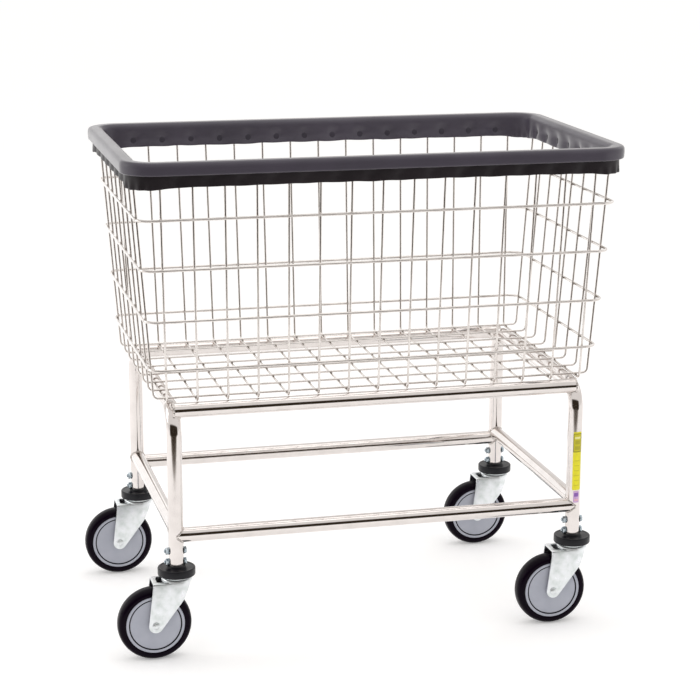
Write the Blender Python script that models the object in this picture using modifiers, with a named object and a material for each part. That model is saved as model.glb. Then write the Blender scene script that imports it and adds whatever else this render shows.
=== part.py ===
"""Wire laundry cart: a tapered wire basket on a bent-tube base with four swivel casters.

Metres, +Z up, +X along the cart's length, -Y its front. The origin is on the floor, under the
centre of the cart's bounding box. Each named object is one physical piece.
"""

import math

import bpy
import bmesh
from mathutils import Vector

GAP = 0.0003  # clearance kept between pieces that touch

# Base of bent tube
LEG_PITCH_X = 0.7087
LEG_PITCH_Y = 0.4423
TUBE_R = 0.0127
TUBE_BEND_R = 0.040
LEG_FOOT_Z = 0.162
TOP_TUBE_Z = 0.4305
TOP_RAIL_HALF_PITCH = 0.214
LOWER_RAIL_Z = 0.2148
SIDE_BAR_Z = 0.2252
SIDE_BAR_R = 0.0123
SOCKET_TOP_Z = 0.2062

# Wire basket, given at the centre lines of its wires
WIRE_R = 0.0020
HOOP_R = 0.0024
CROSS_WIRES = 15
CROSS_PITCH_FLOOR = 0.0519
CROSS_PITCH_TOP = 0.0533
LONG_WIRES = 8
LONG_PITCH_FLOOR = 0.0554
LONG_PITCH_TOP = 0.0570
CROSS_FLOOR_Z = 0.4430
LONG_FLOOR_Z = CROSS_FLOOR_Z + 2 * WIRE_R + GAP
WIRE_TOP_Z = 0.8380
FLOOR_HALF_LENGTH = 0.3830
FLOOR_HALF_WIDTH = 0.2100
TOP_HALF_LENGTH = 0.4125
TOP_HALF_WIDTH = 0.2384
WIRE_BEND_R = 0.009
HOOP_HEIGHTS = (0.5000, 0.5835, 0.6707, 0.7545)
HOOP_CORNER_R = 0.023

# Rim: a steel rod on the wire ends, inside a soft bumper
ROD_R = 0.0030
ROD_HALF_LENGTH = TOP_HALF_LENGTH + WIRE_R + GAP + ROD_R
ROD_HALF_WIDTH = TOP_HALF_WIDTH + WIRE_R + GAP + ROD_R
ROD_CORNER_R = 0.042
RIM_TOP_Z = 0.8512
RIM_LIP_Z = 0.8294
SKIRT_BOTTOM_Z = 0.8110
CHANNEL_TOP_Z = 0.8430
RIM_OUTER = 0.0150  # offsets from the rod's path, outwards positive
SKIRT_OUTER = 0.0063
CHANNEL_OUTER = 0.0034
CHANNEL_INNER = -0.0095
RIM_INNER = -0.0120

# Casters, measured from the leg's axis, which is the swivel axis
WHEEL_R = 0.0635
WHEEL_STEPS = 30
TYRE_HALF_WIDTH = 0.016
TYRE_INNER_R = 0.0508
CORE_HUB_R = 0.010
CORE_HUB_HALF_WIDTH = 0.0183
CORE_WEB_HALF_WIDTH = 0.0130
CORE_RING_R = 0.0440
CORE_RING_HALF_WIDTH = 0.0150
TRAIL = 0.0395
AXLE_Z = WHEEL_R * math.cos(math.pi / WHEEL_STEPS)  # stands on a flat of the tyre
AXLE_R = 0.0040
BOLT_HEAD_R = 0.0065
FORK_HALF_WIDTH = 0.022
FORK_SHEET = 0.003
FORK_REAR_X = -0.0425  # the crown's rear edge; the cheeks slant back from it to the tip
FORK_SHELL_REAR_X = -0.0530  # past the back of the tips
FORK_NOSE_X = 0.024
FORK_TOP_Z = 0.1385
FORK_TIP_R = 0.0122
FORK_KNEE = (0.009, 0.107)
FORK_WINDOW_X = (-0.036, -0.012)
FORK_WINDOW_HALF_WIDTH = 0.015
RACEWAY_R = 0.026
RACEWAY_TOP_Z = 0.1423
STEM_R = 0.0095
STEM_FLANGE_R = 0.025
KINGPIN_R = 0.0050
KINGPIN_HEAD_R = 0.0090
KINGPIN_HEAD_HEIGHT = 0.0030
DISC_R = 0.032
DISC_BOTTOM_Z = 0.1460
DISC_TOP_Z = 0.1597
DISC_COLLAR_R = 0.0155
DISC_EDGE = 0.0018
BOLT_HEAD_HEIGHT = 0.0040
TYRE_SHOULDER = 0.0060

# Sticker on the front right leg
LABEL_Z = (0.245, 0.351)
LABEL_HALF_ANGLE = math.radians(35)
LABEL_CENTRE_ANGLE = math.radians(-85)  # about the leg, from +X
LABEL_THICKNESS = 0.0003

# The casters trail to -X, so the leg centre stands this far in front of the box's centre
REAR_REACH = LEG_PITCH_X / 2 + TRAIL + WHEEL_R
FRONT_REACH = ROD_HALF_LENGTH + RIM_OUTER
LEG_CENTRE_X = (REAR_REACH - FRONT_REACH) / 2


def clear_scene():
    for obj in list(bpy.data.objects):
        bpy.data.objects.remove(obj)


def make_material(name, colour, roughness, metallic=0.0):
    material = bpy.data.materials.new(name)
    material.use_nodes = True
    shader = material.node_tree.nodes["Principled BSDF"]
    shader.inputs["Base Color"].default_value = (*colour, 1.0)
    shader.inputs["Roughness"].default_value = roughness
    shader.inputs["Metallic"].default_value = metallic
    material.diffuse_color = (*colour, 1.0)
    return material


def add_empty(name, location, parent=None):
    empty = bpy.data.objects.new(name, None)
    empty.empty_display_size = 0.03
    empty.location = location
    empty.parent = parent
    cart.objects.link(empty)
    return empty


def add_object(name, data, material, parent, location=(0, 0, 0), rotation=(0, 0, 0)):
    """Link data as one piece of the cart."""
    obj = bpy.data.objects.new(name, data)
    obj.location = location
    obj.rotation_euler = rotation
    obj.parent = parent
    if material and not data.materials:
        data.materials.append(material)
    cart.objects.link(obj)
    return obj


def as_cutter(obj):
    """Move obj to the cutters, which aren't pieces of the cart."""
    obj.hide_render = True
    obj.display_type = "WIRE"
    cart.objects.unlink(obj)
    cutters.objects.link(obj)
    return obj


def boolean(obj, operation, tool):
    modifier = obj.modifiers.new(f"{operation.title()} {tool.name}"[:60], "BOOLEAN")
    modifier.operation = operation
    modifier.solver = "EXACT"
    modifier.object = tool


def fillet(corners, radius, steps, closed=False):
    """Points along the corners' polyline, with an arc of the given radius at each bend."""
    corners = [Vector(corner) for corner in corners]
    points = []
    for i, corner in enumerate(corners):
        if not closed and i in (0, len(corners) - 1):
            points.append(corner)
            continue
        back = (corners[i - 1] - corner).normalized()
        ahead = (corners[(i + 1) % len(corners)] - corner).normalized()
        half = back.angle(ahead) / 2
        centre = corner + (back + ahead).normalized() * (radius / math.sin(half))
        start = corner + back * (radius / math.tan(half)) - centre
        end = corner + ahead * (radius / math.tan(half)) - centre
        sweep = start.angle(end)
        for k in range(steps + 1):
            turned = sweep * k / steps
            spoke = start * math.sin(sweep - turned) + end * math.sin(turned)
            points.append(centre + spoke / math.sin(sweep))
    return points


def rectangle_path(half_length, half_width, z, radius, steps):
    corners = [
        (half_length, half_width, z),
        (-half_length, half_width, z),
        (-half_length, -half_width, z),
        (half_length, -half_width, z),
    ]
    return fillet(corners, radius, steps, closed=True)


def poly_spline(curve, points, cyclic):
    spline = curve.splines.new("POLY")
    spline.points.add(len(points) - 1)
    for point, place in zip(spline.points, points):
        point.co = (place[0], place[1], place[2] if len(place) > 2 else 0.0, 1.0)
    spline.use_cyclic_u = cyclic


def tube_curve(name, points, radius, resolution, cyclic=False):
    curve = bpy.data.curves.new(name, "CURVE")
    curve.dimensions = "3D"
    curve.bevel_depth = radius
    curve.bevel_resolution = resolution
    curve.use_fill_caps = not cyclic
    poly_spline(curve, points, cyclic)
    return curve


def plate_curve(name, outline, thickness):
    """A flat outline in local XY, thickened evenly to both sides of its plane."""
    curve = bpy.data.curves.new(name, "CURVE")
    curve.dimensions = "2D"
    curve.fill_mode = "BOTH"
    curve.extrude = thickness / 2
    poly_spline(curve, outline, True)
    return curve


def to_mesh(obj):
    """Replace a curve object by a closed mesh object of the same name and place."""
    bpy.context.view_layer.update()
    evaluated = obj.evaluated_get(bpy.context.evaluated_depsgraph_get())
    mesh = bpy.data.meshes.new_from_object(evaluated)
    bm = bmesh.new()
    bm.from_mesh(mesh)
    bmesh.ops.remove_doubles(bm, verts=bm.verts, dist=1e-6)
    bmesh.ops.recalc_face_normals(bm, faces=bm.faces)
    bm.to_mesh(mesh)
    bm.free()
    name, parent, matrix = obj.name, obj.parent, obj.matrix_world.copy()
    bpy.data.objects.remove(obj)
    solid = bpy.data.objects.new(name, mesh)
    solid.parent = parent
    cart.objects.link(solid)
    solid.matrix_world = matrix
    return solid


def smooth(mesh, angle=35):
    mesh.shade_smooth()
    mesh.set_sharp_from_angle(angle=math.radians(angle))


def turned_mesh(name, profile, closed):
    """A mesh of the profile's edges, given as (radius, height) from the top down its outside."""
    mesh = bpy.data.meshes.new(name)
    edges = [(i, i + 1) for i in range(len(profile) - 1)]
    if closed:
        edges.append((len(profile) - 1, 0))
    mesh.from_pydata([(radius, 0.0, height) for radius, height in profile], edges, [])
    return mesh


def add_turned(name, mesh, material, steps, parent, location=(0, 0, 0), rotation=(0, 0, 0)):
    obj = add_object(name, mesh, material, parent, location, rotation)
    screw = obj.modifiers.new("Turn", "SCREW")
    screw.axis = "Z"
    screw.angle = math.tau
    screw.steps = steps
    screw.render_steps = steps
    screw.use_merge_vertices = True
    screw.merge_threshold = 0.00001
    screw.use_smooth_shade = True
    return obj


def add_cylinder_cutter(name, radius, depth, location, rotation, parent, sides=16):
    mesh = bpy.data.meshes.new(name)
    bm = bmesh.new()
    bmesh.ops.create_cone(
        bm, cap_ends=True, segments=sides, radius1=radius, radius2=radius, depth=depth
    )
    bm.to_mesh(mesh)
    bm.free()
    return as_cutter(add_object(name, mesh, None, parent, location, rotation))


# ---- Base -----------------------------------------------------------------------------------

def end_tube_points(x):
    """The inverted U of one end: up a leg, across and down the other leg."""
    half = LEG_PITCH_Y / 2
    corners = [
        (x, -half, LEG_FOOT_Z),
        (x, -half, TOP_TUBE_Z),
        (x, half, TOP_TUBE_Z),
        (x, half, LEG_FOOT_Z),
    ]
    return fillet(corners, TUBE_BEND_R, 5)


def side_bar_points(x):
    half = LEG_PITCH_Y / 2
    return [(x, -half, SIDE_BAR_Z), (x, half, SIDE_BAR_Z)]


def add_end_frame(side, x, root, chrome):
    """One bent end tube with its lower side bar welded in; returns the cutters of its shape."""
    bent = tube_curve(f"{side}_end_frame", end_tube_points(x), TUBE_R, 6)
    frame = to_mesh(add_object(bent.name, bent, chrome, root))
    bar = tube_curve(f"{side}_side_bar", side_bar_points(x), SIDE_BAR_R, 6)
    boolean(frame, "UNION", as_cutter(to_mesh(add_object(bar.name, bar, chrome, root))))
    for y in (-LEG_PITCH_Y / 2, LEG_PITCH_Y / 2):
        depth = 2 * (SOCKET_TOP_Z - LEG_FOOT_Z)
        place = (x, y, LEG_FOOT_Z)
        name = f"{side}_socket_{'front' if y < 0 else 'rear'}"
        socket = add_cylinder_cutter(name, STEM_R + GAP, depth, place, (0, 0, 0), root)
        boolean(frame, "DIFFERENCE", socket)
    smooth(frame.data)
    clearances = []
    shapes = (("tube", end_tube_points(x), TUBE_R), ("bar", side_bar_points(x), SIDE_BAR_R))
    for label, points, radius in shapes:
        curve = tube_curve(f"{side}_{label}_clearance", points, radius + GAP, 6)
        clearances.append(as_cutter(to_mesh(add_object(curve.name, curve, None, root))))
    return clearances


def add_rail(name, y, z, clearances, root, chrome):
    """A rail between the two end frames, coped to the tubes that it meets."""
    ends = [(-LEG_PITCH_X / 2, y, z), (LEG_PITCH_X / 2, y, z)]
    curve = tube_curve(name, ends, TUBE_R, 6)
    rail = to_mesh(add_object(name, curve, chrome, root))
    for clearance in clearances:
        boolean(rail, "DIFFERENCE", clearance)
    smooth(rail.data)


def add_base(root, chrome):
    clearances = []
    for side, x in (("left", -LEG_PITCH_X / 2), ("right", LEG_PITCH_X / 2)):
        clearances += add_end_frame(side, x, root, chrome)
    tubes = [c for c in clearances if "tube" in c.name]
    for side, sign in (("front", -1), ("rear", 1)):
        add_rail(f"{side}_top_rail", sign * TOP_RAIL_HALF_PITCH, TOP_TUBE_Z, tubes, root, chrome)
        y = sign * LEG_PITCH_Y / 2
        add_rail(f"{side}_lower_rail", y, LOWER_RAIL_Z, clearances, root, chrome)


# ---- Basket ---------------------------------------------------------------------------------

def wall_at(z, floor_half, top_half):
    """Half the distance between two opposite walls at height z, wire centre to wire centre."""
    share = (z - CROSS_FLOOR_Z) / (WIRE_TOP_Z - CROSS_FLOOR_Z)
    return floor_half + (top_half - floor_half) * share


def add_cross_wire(number, root, chrome):
    """A wire that runs down the front wall, across the floor and up the rear wall."""
    step = number - (CROSS_WIRES + 1) / 2
    x_floor, x_top = step * CROSS_PITCH_FLOOR, step * CROSS_PITCH_TOP
    corners = [
        (x_top, -TOP_HALF_WIDTH, WIRE_TOP_Z),
        (x_floor, -FLOOR_HALF_WIDTH, CROSS_FLOOR_Z),
        (x_floor, FLOOR_HALF_WIDTH, CROSS_FLOOR_Z),
        (x_top, TOP_HALF_WIDTH, WIRE_TOP_Z),
    ]
    points = fillet(corners, WIRE_BEND_R, 3)
    name = f"cross_wire_{number:02d}"
    add_object(name, tube_curve(name, points, WIRE_R, 2), chrome, root)


def add_long_wire(number, root, chrome):
    """A wire that runs down the left end, along the floor and up the right end."""
    step = number - (LONG_WIRES + 1) / 2
    y_floor, y_top = step * LONG_PITCH_FLOOR, step * LONG_PITCH_TOP
    x_floor = wall_at(LONG_FLOOR_Z, FLOOR_HALF_LENGTH, TOP_HALF_LENGTH)
    corners = [
        (-TOP_HALF_LENGTH, y_top, WIRE_TOP_Z),
        (-x_floor, y_floor, LONG_FLOOR_Z),
        (x_floor, y_floor, LONG_FLOOR_Z),
        (TOP_HALF_LENGTH, y_top, WIRE_TOP_Z),
    ]
    points = fillet(corners, WIRE_BEND_R, 3)
    name = f"long_wire_{number}"
    add_object(name, tube_curve(name, points, WIRE_R, 2), chrome, root)


def add_hoop(number, z, root, chrome):
    """A ring of wire round the outside of all four walls."""
    outside = WIRE_R + GAP + HOOP_R
    half_length = wall_at(z, FLOOR_HALF_LENGTH, TOP_HALF_LENGTH) + outside
    half_width = wall_at(z, FLOOR_HALF_WIDTH, TOP_HALF_WIDTH) + outside
    points = rectangle_path(half_length, half_width, z, HOOP_CORNER_R, 4)
    name = f"hoop_wire_{number}"
    add_object(name, tube_curve(name, points, HOOP_R, 2, cyclic=True), chrome, root)


def add_basket(root, chrome):
    for number in range(1, CROSS_WIRES + 1):
        add_cross_wire(number, root, chrome)
    for number in range(1, LONG_WIRES + 1):
        add_long_wire(number, root, chrome)
    for number, z in enumerate(HOOP_HEIGHTS, 1):
        add_hoop(number, z, root, chrome)
    rod = rectangle_path(ROD_HALF_LENGTH, ROD_HALF_WIDTH, WIRE_TOP_Z, ROD_CORNER_R, 5)
    add_object("rim_rod", tube_curve("rim_rod", rod, ROD_R, 2, cyclic=True), chrome, root)


def bumper_profile():
    """The bumper's section: a bulged band over a channel that is open below.

    Each point is (offset from the rod's path, height). Both skirts hang under the band, one
    outside the rod and one inside the wires.
    """
    return [
        (SKIRT_OUTER, SKIRT_BOTTOM_Z),
        (SKIRT_OUTER, RIM_LIP_Z),
        (RIM_OUTER - 0.0035, RIM_LIP_Z),
        (RIM_OUTER - 0.0008, RIM_LIP_Z + 0.0020),
        (RIM_OUTER, RIM_LIP_Z + 0.0065),
        (RIM_OUTER, RIM_TOP_Z - 0.0080),
        (RIM_OUTER - 0.0012, RIM_TOP_Z - 0.0032),
        (RIM_OUTER - 0.0045, RIM_TOP_Z - 0.0005),
        (RIM_OUTER - 0.0090, RIM_TOP_Z),
        (RIM_INNER + 0.0080, RIM_TOP_Z),
        (RIM_INNER + 0.0030, RIM_TOP_Z - 0.0017),
        (RIM_INNER + 0.0003, RIM_TOP_Z - 0.0057),
        (RIM_INNER, RIM_TOP_Z - 0.0110),
        (RIM_INNER, SKIRT_BOTTOM_Z),
        (CHANNEL_INNER, SKIRT_BOTTOM_Z),
        (CHANNEL_INNER, CHANNEL_TOP_Z),
        (CHANNEL_OUTER, CHANNEL_TOP_Z),
        (CHANNEL_OUTER, SKIRT_BOTTOM_Z),
    ]


def add_bumper(root, vinyl):
    """Sweep the bumper's section round the rim, mitred at every station of the path."""
    path = rectangle_path(ROD_HALF_LENGTH, ROD_HALF_WIDTH, 0.0, ROD_CORNER_R, 5)
    profile = bumper_profile()
    bm = bmesh.new()
    rings = []
    for i, here in enumerate(path):
        before = (here - path[i - 1]).normalized()
        after = (path[(i + 1) % len(path)] - here).normalized()
        along = (before + after).normalized()
        outwards = Vector((along.y, -along.x, 0.0)) / along.dot(after)
        places = [here + outwards * offset + Vector((0, 0, z)) for offset, z in profile]
        rings.append([bm.verts.new(place) for place in places])
    for ring, following in zip(rings, rings[1:] + rings[:1]):
        for k in range(len(profile)):
            n = (k + 1) % len(profile)
            bm.faces.new((ring[k], following[k], following[n], ring[n]))
    bmesh.ops.recalc_face_normals(bm, faces=bm.faces)
    mesh = bpy.data.meshes.new("rim_bumper")
    bm.to_mesh(mesh)
    bm.free()
    smooth(mesh, 50)
    add_object("rim_bumper", mesh, vinyl, root)


# ---- Casters --------------------------------------------------------------------------------

def fork_plan(half_width, nose_x, rear_x):
    """Seen from above: straight sides and a half-round nose."""
    centre_x = nose_x - half_width
    turns = [math.pi * (k / 8 - 0.5) for k in range(9)]
    nose = [(centre_x + half_width * math.cos(t), half_width * math.sin(t)) for t in turns]
    return nose + [(rear_x, half_width), (rear_x, -half_width)]


def fork_side(top_z):
    """Seen from the side: wide at the crown, tapering to a round tip at the axle."""
    centre = Vector((-TRAIL, AXLE_Z))

    def tangent(corner, side):
        reach = Vector(corner) - centre
        lean = math.acos(FORK_TIP_R / reach.length)
        return math.atan2(reach.y, reach.x) + side * lean

    first = tangent(FORK_KNEE, -1)
    last = tangent((FORK_REAR_X, top_z), 1) - math.tau
    turns = [first + (last - first) * k / 8 for k in range(9)]
    tip = [centre + Vector((math.cos(t), math.sin(t))) * FORK_TIP_R for t in turns]
    front = (FORK_NOSE_X + 0.001, top_z)
    return [front, FORK_KNEE, *[(p.x, p.y) for p in tip], (FORK_REAR_X, top_z)]


def add_plate(name, outline, thickness, location, rotation, material=None):
    curve = plate_curve(name, outline, thickness)
    return to_mesh(add_object(name, curve, material, None, location, rotation))


def make_fork_mesh(zinc):
    """A pressed sheet fork: tapered cheeks, a round nose, a crown with a window, a raceway."""
    height = FORK_TOP_Z
    middle = (0, 0, height / 2)
    plan = fork_plan(FORK_HALF_WIDTH, FORK_NOSE_X, FORK_SHELL_REAR_X)
    fork = add_plate("fork", plan, height, middle, (0, 0, 0), zinc)
    hollow_half = FORK_HALF_WIDTH - FORK_SHEET
    hollow_plan = fork_plan(hollow_half, FORK_NOSE_X - FORK_SHEET, FORK_SHELL_REAR_X - 0.01)
    hollow_centre = (0, 0, height / 2 - FORK_SHEET)
    hollow = add_plate("fork_hollow", hollow_plan, height, hollow_centre, (0, 0, 0))
    side_turn = (math.pi / 2, 0, 0)
    through = 3 * FORK_HALF_WIDTH
    side = add_plate("fork_side", fork_side(height), through, (0, 0, 0), side_turn)
    window_rear, window_front = FORK_WINDOW_X
    window_outline = [
        (window_rear, -FORK_WINDOW_HALF_WIDTH),
        (window_front, -FORK_WINDOW_HALF_WIDTH),
        (window_front, FORK_WINDOW_HALF_WIDTH),
        (window_rear, FORK_WINDOW_HALF_WIDTH),
    ]
    window = add_plate("fork_window", window_outline, 4 * FORK_SHEET, (0, 0, height), (0, 0, 0))
    raceway = add_cylinder_cutter(
        "fork_raceway", RACEWAY_R, RACEWAY_TOP_Z - height + FORK_SHEET,
        (0, 0, (RACEWAY_TOP_Z + height - FORK_SHEET) / 2), (0, 0, 0), None, 20,
    )
    bore = add_cylinder_cutter(
        "fork_bore", KINGPIN_R + GAP, through, (0, 0, height), (0, 0, 0), None
    )
    axle_hole = add_cylinder_cutter(
        "fork_axle_hole", AXLE_R + GAP, through, (-TRAIL, 0, AXLE_Z), side_turn, None
    )
    boolean(fork, "DIFFERENCE", as_cutter(hollow))
    boolean(fork, "INTERSECT", as_cutter(side))
    boolean(fork, "DIFFERENCE", as_cutter(window))
    boolean(fork, "UNION", raceway)
    boolean(fork, "DIFFERENCE", bore)
    boolean(fork, "DIFFERENCE", axle_hole)
    bpy.context.view_layer.update()
    evaluated = fork.evaluated_get(bpy.context.evaluated_depsgraph_get())
    mesh = bpy.data.meshes.new_from_object(evaluated)
    mesh.transform(fork.matrix_world)
    smooth(mesh, 30)
    bpy.data.objects.remove(fork)
    return mesh


def make_stem_mesh():
    """Shaft in the leg, raceway flange under the disc, kingpin through the fork's crown."""
    flange_bottom = RACEWAY_TOP_Z + GAP
    flange_top = DISC_BOTTOM_Z - GAP
    head_top = FORK_TOP_Z - FORK_SHEET - GAP
    profile = [
        (0.0, SOCKET_TOP_Z - 0.001),
        (STEM_R - 0.001, SOCKET_TOP_Z - 0.001),
        (STEM_R, SOCKET_TOP_Z - 0.002),
        (STEM_R, flange_top),
        (STEM_FLANGE_R, flange_top),
        (STEM_FLANGE_R, flange_bottom),
        (KINGPIN_R, flange_bottom),
        (KINGPIN_R, head_top),
        (KINGPIN_HEAD_R, head_top),
        (KINGPIN_HEAD_R, head_top - KINGPIN_HEAD_HEIGHT),
        (0.0, head_top - KINGPIN_HEAD_HEIGHT),
    ]
    return turned_mesh("stem", profile, False)


def make_disc_mesh():
    """Rubber disc with rounded edges and a low collar under the leg's foot."""
    collar_top = LEG_FOOT_Z - GAP
    profile = [
        (STEM_R + GAP, collar_top),
        (DISC_COLLAR_R, collar_top),
        (DISC_COLLAR_R, DISC_TOP_Z),
        (DISC_R - DISC_EDGE, DISC_TOP_Z),
        (DISC_R, DISC_TOP_Z - DISC_EDGE),
        (DISC_R, DISC_BOTTOM_Z + DISC_EDGE),
        (DISC_R - DISC_EDGE, DISC_BOTTOM_Z),
        (STEM_R + GAP, DISC_BOTTOM_Z),
    ]
    return turned_mesh("bumper_disc", profile, True)


def mirrored_profile(outer_half):
    """A section that is even about height 0, from its upper half, given from inside out."""
    return outer_half + [(radius, -height) for radius, height in reversed(outer_half)]


def make_core_mesh():
    """Wheel core: hub, flat web and raised outer ring."""
    upper = [
        (AXLE_R + GAP, CORE_HUB_HALF_WIDTH),
        (CORE_HUB_R, CORE_HUB_HALF_WIDTH),
        (CORE_HUB_R, CORE_WEB_HALF_WIDTH),
        (CORE_RING_R, CORE_WEB_HALF_WIDTH),
        (CORE_RING_R, CORE_RING_HALF_WIDTH),
        (TYRE_INNER_R - GAP, CORE_RING_HALF_WIDTH),
    ]
    return turned_mesh("wheel_core", mirrored_profile(upper), True)


def make_tyre_mesh():
    upper = [
        (TYRE_INNER_R, TYRE_HALF_WIDTH),
        (WHEEL_R - TYRE_SHOULDER, TYRE_HALF_WIDTH),
        (WHEEL_R - 0.35 * TYRE_SHOULDER, TYRE_HALF_WIDTH - 0.35 * TYRE_SHOULDER),
        (WHEEL_R, TYRE_HALF_WIDTH - TYRE_SHOULDER),
    ]
    return turned_mesh("tyre", mirrored_profile(upper), True)


def make_axle_mesh():
    """Axle pin with a domed head outside each cheek of the fork."""
    cheek = FORK_HALF_WIDTH + GAP
    upper = [
        (0.0, cheek + BOLT_HEAD_HEIGHT),
        (0.7 * BOLT_HEAD_R, cheek + 0.9 * BOLT_HEAD_HEIGHT),
        (BOLT_HEAD_R, cheek + 0.45 * BOLT_HEAD_HEIGHT),
        (BOLT_HEAD_R, cheek),
        (AXLE_R, cheek),
    ]
    return turned_mesh("axle_bolt", mirrored_profile(upper), False)


def add_casters(root, materials):
    zinc, rubber, tread, plastic, steel = materials
    fork_mesh = make_fork_mesh(zinc)
    stem_mesh = make_stem_mesh()
    disc_mesh = make_disc_mesh()
    core_mesh = make_core_mesh()
    tyre_mesh = make_tyre_mesh()
    axle_mesh = make_axle_mesh()
    on_its_side = (math.pi / 2, 0, 0)
    for row, y in (("front", -LEG_PITCH_Y / 2), ("rear", LEG_PITCH_Y / 2)):
        for side, x in (("left", -LEG_PITCH_X / 2), ("right", LEG_PITCH_X / 2)):
            corner = f"{row}_{side}"
            leg = add_empty(f"{corner}_leg_axis", (x, y, 0), root)
            add_turned(f"{corner}_stem", stem_mesh, steel, 12, leg)
            add_turned(f"{corner}_bumper_disc", disc_mesh, rubber, 20, leg)
            swivel = add_empty(f"{corner}_swivel", (0, 0, 0), leg)
            add_object(f"{corner}_fork", fork_mesh, zinc, swivel)
            axle = add_empty(f"{corner}_axle", (-TRAIL, 0, AXLE_Z), swivel)
            axle.rotation_euler = on_its_side
            add_turned(f"{corner}_axle_bolt", axle_mesh, steel, 12, axle)
            add_turned(f"{corner}_wheel_core", core_mesh, plastic, 20, axle)
            add_turned(f"{corner}_tyre", tyre_mesh, tread, WHEEL_STEPS, axle)


def add_label(root, paper):
    """A thin sticker wrapped round the front of the front right leg."""
    inner = TUBE_R + GAP
    outer = inner + LABEL_THICKNESS
    turns = [LABEL_CENTRE_ANGLE + LABEL_HALF_ANGLE * (k / 4 - 1) for k in range(9)]
    outline = [(outer * math.cos(t), outer * math.sin(t)) for t in turns]
    outline += [(inner * math.cos(t), inner * math.sin(t)) for t in reversed(turns)]
    low, high = LABEL_Z
    curve = plate_curve("label", outline, high - low)
    place = (LEG_PITCH_X / 2, -LEG_PITCH_Y / 2, (low + high) / 2)
    to_mesh(add_object("label", curve, paper, root, place))


clear_scene()
cart = bpy.data.collections.new("laundry_cart")
cutters = bpy.data.collections.new("cutters")
bpy.context.scene.collection.children.link(cart)
bpy.context.scene.collection.children.link(cutters)

base_axis = add_empty("leg_centre", (LEG_CENTRE_X, 0, 0))
chrome_metal = make_material("chrome", (0.78, 0.76, 0.73), 0.16, 1.0)
bright_zinc = make_material("bright_zinc", (0.80, 0.82, 0.83), 0.32, 1.0)
soft_vinyl = make_material("charcoal_vinyl", (0.075, 0.068, 0.080), 0.50)
black_rubber = make_material("black_rubber", (0.020, 0.021, 0.024), 0.55)
dark_tread = make_material("dark_tread", (0.022, 0.017, 0.022), 0.42)
grey_plastic = make_material("grey_plastic", (0.37, 0.39, 0.45), 0.50)
dull_steel = make_material("steel", (0.62, 0.63, 0.64), 0.35, 1.0)
yellow_paper = make_material("yellow_paper", (0.90, 0.78, 0.05), 0.55)

add_base(base_axis, chrome_metal)
add_basket(base_axis, chrome_metal)
add_bumper(base_axis, soft_vinyl)
add_casters(base_axis, (bright_zinc, black_rubber, dark_tread, grey_plastic, dull_steel))
add_label(base_axis, yellow_paper)
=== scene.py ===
import math

import bmesh
import bpy
from mathutils import Matrix, Vector, noise


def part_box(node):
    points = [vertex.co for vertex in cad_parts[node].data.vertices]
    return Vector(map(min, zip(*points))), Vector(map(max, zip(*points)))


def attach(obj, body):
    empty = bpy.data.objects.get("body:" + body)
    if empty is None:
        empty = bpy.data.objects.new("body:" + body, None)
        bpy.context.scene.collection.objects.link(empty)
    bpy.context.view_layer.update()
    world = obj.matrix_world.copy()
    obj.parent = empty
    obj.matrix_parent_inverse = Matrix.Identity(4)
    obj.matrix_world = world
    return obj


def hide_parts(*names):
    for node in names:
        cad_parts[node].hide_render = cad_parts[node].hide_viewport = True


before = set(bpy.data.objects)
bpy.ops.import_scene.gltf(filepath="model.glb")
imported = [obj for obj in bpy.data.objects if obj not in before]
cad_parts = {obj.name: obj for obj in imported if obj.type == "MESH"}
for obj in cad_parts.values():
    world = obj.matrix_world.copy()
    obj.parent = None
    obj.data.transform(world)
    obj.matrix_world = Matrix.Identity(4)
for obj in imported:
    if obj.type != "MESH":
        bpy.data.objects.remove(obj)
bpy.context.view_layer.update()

# ---- Sizes: the frame's own, in metres -----------------------

GAP = 0.0003
CORNERS = ("front_left", "front_right", "rear_left", "rear_right")


def middle(node):
    low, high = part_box(node)
    return (low + high) / 2


LEG = {corner: middle(f"{corner}_stem") for corner in CORNERS}
AXLE = {corner: middle(f"{corner}_tyre") for corner in CORNERS}
CENTRE_X = (LEG["front_left"].x + LEG["front_right"].x) / 2
LEG_HALF_X = (LEG["front_right"].x - LEG["front_left"].x) / 2
LEG_HALF_Y = (LEG["rear_left"].y - LEG["front_left"].y) / 2
TRAIL = LEG["front_left"].x - AXLE["front_left"].x
AXLE_Z = AXLE["front_left"].z

# Base tubes
TUBE_R = 0.0127
TUBE_BEND_R = 0.040
FOOT_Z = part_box("left_end_frame")[0].z
TOP_TUBE_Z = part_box("left_end_frame")[1].z - TUBE_R
TOP_RAIL_HALF_PITCH = (middle("rear_top_rail").y - middle("front_top_rail").y) / 2
LOWER_RAIL_Z = middle("front_lower_rail").z
SIDE_BAR_Z = LOWER_RAIL_Z + 0.0104
SIDE_BAR_R = 0.0123
BEAD_R = 0.0019
BEAD_STEP = 0.0011
PLAIN_FROM_END = 0.03  # how far from its end a coped tube is a plain cylinder

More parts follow.
